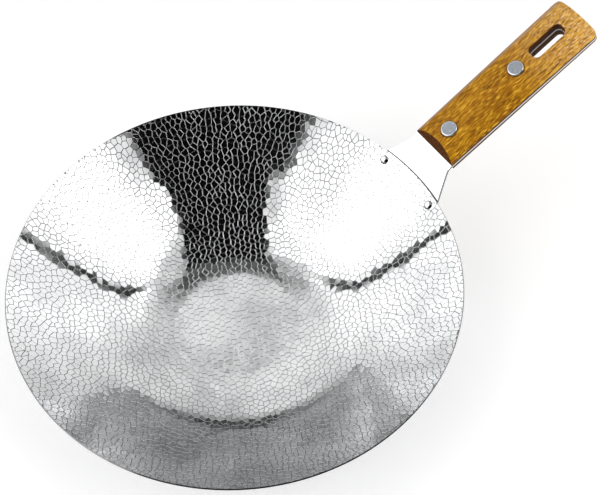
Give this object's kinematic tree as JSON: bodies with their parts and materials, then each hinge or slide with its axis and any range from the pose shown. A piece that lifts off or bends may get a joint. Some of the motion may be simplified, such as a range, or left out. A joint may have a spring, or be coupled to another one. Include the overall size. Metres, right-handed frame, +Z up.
{
  "type": "stainless steel wok",
  "caption": "Flat-bottomed wok of polished steel sheet with an embossed inside, a riveted steel handle bracket and crowned wooden grip scales with a hanging slot.",
  "frame": {"origin": "centre of the underside of the bowl's flat base, on the surface that the wok stands on", "axes": "+Z up out of the bowl's mouth, +X along the handle from the bowl's centre, +Y to the left of the handle seen from the bowl"},
  "size_m": [0.4695, 0.32, 0.149],
  "materials": {
    "bowl_steel": "mirror polished and embossed with small cells inside, satin outside",
    "bracket_steel": "polished sheet",
    "grip_wood": "golden brown hardwood with short dark pores, lacquered",
    "rivet_aluminium": "satin, with a bright bevel",
    "rivet_steel": "polished dome"
  },
  "bodies": {
    "root": {"bowl": "bowl_steel", "handle_bracket": "bracket_steel", "upper_scale": "grip_wood", "lower_scale": "grip_wood", "front_handle_rivet": "rivet_aluminium", "rear_handle_rivet": "rivet_aluminium", "left_bowl_rivet": "rivet_steel", "right_bowl_rivet": "rivet_steel"}
  },
  "joints": []
}
